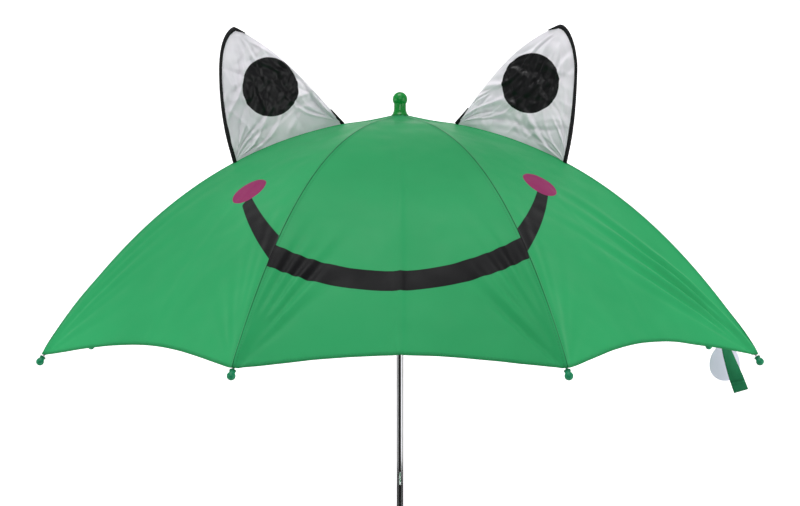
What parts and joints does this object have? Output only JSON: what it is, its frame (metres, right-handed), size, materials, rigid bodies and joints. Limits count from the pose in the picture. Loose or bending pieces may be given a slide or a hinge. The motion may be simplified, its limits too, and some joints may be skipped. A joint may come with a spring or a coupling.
{
  "type": "children's umbrella",
  "caption": "Child's dome umbrella with a frog's face, stand-up eye flaps, folding ribs around a sliding runner, and a crook handle",
  "frame": {"origin": "on the shaft's axis in the middle of the handle's grip, where a hand holds the umbrella", "axes": "+Z along the shaft towards the ferrule, -Y towards the frog's face, +X towards the crook's free end"},
  "size_m": [0.7524, 0.7468, 0.6709],
  "materials": {
    "canopy_fabric": "thin glossy green nylon weave",
    "eye_fabric": "thin white nylon, crinkled, with black binding",
    "strap_fabric": "dark green doubled nylon",
    "tag_card": "smooth blank card",
    "tip_plastic": "glossy moulded green",
    "green_plastic": "glossy moulded green",
    "hub_nylon": "moulded black nylon",
    "shaft_chrome": "plated tube",
    "spring_steel": "bright strip",
    "rib_steel": "plated wire"
  },
  "bodies": {
    "frame": {"handle": "green_plastic", "shaft": "shaft_chrome", "ferrule": "green_plastic", "crown": "hub_nylon", "crown_wire": "rib_steel", "crown_pin": "rib_steel", "stop_pin": "rib_steel"},
    "top_catch": {"top_catch": "spring_steel"},
    "bottom_catch": {"bottom_catch": "spring_steel"},
    "runner": {"runner": "hub_nylon", "runner_wire": "rib_steel"},
    "rib_1": {"rib_1": "rib_steel", "rib_rivet_1": "rib_steel", "tip_1": "tip_plastic", "canopy_1": "canopy_fabric"},
    "rib_2": {"rib_2": "rib_steel", "rib_rivet_2": "rib_steel", "tip_2": "tip_plastic", "canopy_2": "canopy_fabric", "tie_strap": "strap_fabric", "hang_tag": "tag_card"},
    "rib_3": {"rib_3": "rib_steel", "rib_rivet_3": "rib_steel", "tip_3": "tip_plastic", "canopy_3": "canopy_fabric"},
    "rib_4": {"rib_4": "rib_steel", "rib_rivet_4": "rib_steel", "tip_4": "tip_plastic", "canopy_4": "canopy_fabric"},
    "rib_5": {"rib_5": "rib_steel", "rib_rivet_5": "rib_steel", "tip_5": "tip_plastic", "canopy_5": "canopy_fabric"},
    "rib_6": {"rib_6": "rib_steel", "rib_rivet_6": "rib_steel", "tip_6": "tip_plastic", "canopy_6": "canopy_fabric"},
    "rib_7": {"rib_7": "rib_steel", "rib_rivet_7": "rib_steel", "tip_7": "tip_plastic", "canopy_7": "canopy_fabric"},
    "rib_8": {"rib_8": "rib_steel", "rib_rivet_8": "rib_steel", "tip_8": "tip_plastic", "canopy_8": "canopy_fabric"},
    "stretcher_1": {"stretcher_1": "rib_steel"},
    "stretcher_2": {"stretcher_2": "rib_steel"},
    "stretcher_3": {"stretcher_3": "rib_steel"},
    "stretcher_4": {"stretcher_4": "rib_steel"},
    "stretcher_5": {"stretcher_5": "rib_steel"},
    "stretcher_6": {"stretcher_6": "rib_steel"},
    "stretcher_7": {"stretcher_7": "rib_steel"},
    "stretcher_8": {"stretcher_8": "rib_steel"},
    "eye_right": {"eye_right": "eye_fabric"},
    "eye_left": {"eye_left": "eye_fabric"}
  },
  "joints": [
    {"name": "rib_1_fold", "type": "hinge", "parent": "frame", "child": "rib_1", "pos_m": [0.00306, -0.00739, 0.519], "axis": [0.9239, 0.3827, 0], "range_deg": [0, 56.14], "deforming": ["canopy_1", "canopy_2", "canopy_3", "canopy_4", "canopy_5", "canopy_6", "canopy_7", "canopy_8", "tie_strap", "hang_tag", "top_catch", "bottom_catch"]},
    {"name": "rib_2_fold", "type": "hinge", "parent": "frame", "child": "rib_2", "pos_m": [0.00739, -0.00306, 0.519], "axis": [0.3827, 0.9239, 0], "range_deg": [0, 56.14]},
    {"name": "rib_3_fold", "type": "hinge", "parent": "frame", "child": "rib_3", "pos_m": [0.00739, 0.00306, 0.519], "axis": [-0.3827, 0.9239, 0], "range_deg": [0, 56.14]},
    {"name": "rib_4_fold", "type": "hinge", "parent": "frame", "child": "rib_4", "pos_m": [0.00306, 0.00739, 0.519], "axis": [-0.9239, 0.3827, 0], "range_deg": [0, 56.14]},
    {"name": "rib_5_fold", "type": "hinge", "parent": "frame", "child": "rib_5", "pos_m": [-0.00306, 0.00739, 0.519], "axis": [-0.9239, -0.3827, 0], "range_deg": [0, 56.14]},
    {"name": "rib_6_fold", "type": "hinge", "parent": "frame", "child": "rib_6", "pos_m": [-0.00739, 0.00306, 0.519], "axis": [-0.3827, -0.9239, 0], "range_deg": [0, 56.14]},
    {"name": "rib_7_fold", "type": "hinge", "parent": "frame", "child": "rib_7", "pos_m": [-0.00739, -0.00306, 0.519], "axis": [0.3827, -0.9239, 0], "range_deg": [0, 56.14]},
    {"name": "rib_8_fold", "type": "hinge", "parent": "frame", "child": "rib_8", "pos_m": [-0.00306, -0.00739, 0.519], "axis": [0.9239, -0.3827, 0], "range_deg": [0, 56.14]},
    {"name": "stretcher_1_swing", "type": "hinge", "parent": "rib_1", "child": "stretcher_1", "pos_m": [0.07105, -0.17153, 0.46596], "axis": [0.9239, 0.3827, 0], "range_deg": [-112.29, 0]},
    {"name": "stretcher_2_swing", "type": "hinge", "parent": "rib_2", "child": "stretcher_2", "pos_m": [0.17153, -0.07105, 0.46596], "axis": [0.3827, 0.9239, 0], "range_deg": [-112.29, 0]},
    {"name": "stretcher_3_swing", "type": "hinge", "parent": "rib_3", "child": "stretcher_3", "pos_m": [0.17153, 0.07105, 0.46596], "axis": [-0.3827, 0.9239, 0], "range_deg": [-112.29, 0]},
    {"name": "stretcher_4_swing", "type": "hinge", "parent": "rib_4", "child": "stretcher_4", "pos_m": [0.07105, 0.17153, 0.46596], "axis": [-0.9239, 0.3827, 0], "range_deg": [-112.29, 0]},
    {"name": "stretcher_5_swing", "type": "hinge", "parent": "rib_5", "child": "stretcher_5", "pos_m": [-0.07105, 0.17153, 0.46596], "axis": [-0.9239, -0.3827, 0], "range_deg": [-112.29, 0]},
    {"name": "stretcher_6_swing", "type": "hinge", "parent": "rib_6", "child": "stretcher_6", "pos_m": [-0.17153, 0.07105, 0.46596], "axis": [-0.3827, -0.9239, 0], "range_deg": [-112.29, 0]},
    {"name": "stretcher_7_swing", "type": "hinge", "parent": "rib_7", "child": "stretcher_7", "pos_m": [-0.17153, -0.07105, 0.46596], "axis": [0.3827, -0.9239, 0], "range_deg": [-112.29, 0]},
    {"name": "stretcher_8_swing", "type": "hinge", "parent": "rib_8", "child": "stretcher_8", "pos_m": [-0.07105, -0.17153, 0.46596], "axis": [0.9239, -0.3827, 0], "range_deg": [-112.29, 0]},
    {"name": "runner_carry", "type": "hinge", "parent": "stretcher_1", "child": "runner", "pos_m": [0.00306, -0.00739, 0.41293], "axis": [0.9239, 0.3827, 0], "range_deg": [0, 56.14]},
    {"name": "eye_right_flop", "type": "hinge", "parent": "rib_2", "child": "eye_right", "pos_m": [0.11934, -0.04943, 0.49331], "axis": [-0.8699, 0.3603, 0.3368], "range_deg": [0, 80.01]},
    {"name": "eye_left_flop", "type": "hinge", "parent": "rib_7", "child": "eye_left", "pos_m": [-0.11934, -0.04943, 0.49331], "axis": [-0.8699, -0.3603, -0.3368], "range_deg": [0, 80.01]},
    {"name": "top_catch_press", "type": "hinge", "parent": "frame", "child": "top_catch", "pos_m": [0, -0.0023, 0.33113], "axis": [-1, 0, 0], "range_deg": [0, 6.5], "stiffness_Nm_per_rad": 0.3, "springref_deg": -5.73},
    {"name": "bottom_catch_press", "type": "hinge", "parent": "frame", "child": "bottom_catch", "pos_m": [0, -0.0023, 0.14533], "axis": [1, 0, 0], "range_deg": [0, 6.5], "stiffness_Nm_per_rad": 0.3, "springref_deg": -5.73}
  ],
  "couplings": [
    {"joint": "rib_2_fold", "follows": "rib_1_fold", "ratio": 1},
    {"joint": "rib_3_fold", "follows": "rib_1_fold", "ratio": 1},
    {"joint": "rib_4_fold", "follows": "rib_1_fold", "ratio": 1},
    {"joint": "rib_5_fold", "follows": "rib_1_fold", "ratio": 1},
    {"joint": "rib_6_fold", "follows": "rib_1_fold", "ratio": 1},
    {"joint": "rib_7_fold", "follows": "rib_1_fold", "ratio": 1},
    {"joint": "rib_8_fold", "follows": "rib_1_fold", "ratio": 1},
    {"joint": "stretcher_1_swing", "follows": "rib_1_fold", "ratio": -2},
    {"joint": "stretcher_2_swing", "follows": "rib_1_fold", "ratio": -2},
    {"joint": "stretcher_3_swing", "follows": "rib_1_fold", "ratio": -2},
    {"joint": "stretcher_4_swing", "follows": "rib_1_fold", "ratio": -2},
    {"joint": "stretcher_5_swing", "follows": "rib_1_fold", "ratio": -2},
    {"joint": "stretcher_6_swing", "follows": "rib_1_fold", "ratio": -2},
    {"joint": "stretcher_7_swing", "follows": "rib_1_fold", "ratio": -2},
    {"joint": "stretcher_8_swing", "follows": "rib_1_fold", "ratio": -2},
    {"joint": "runner_carry", "follows": "rib_1_fold", "ratio": 1},
    {"joint": "eye_right_flop", "follows": "rib_1_fold", "ratio": 1.425},
    {"joint": "eye_left_flop", "follows": "rib_1_fold", "ratio": 1.425}
  ]
}
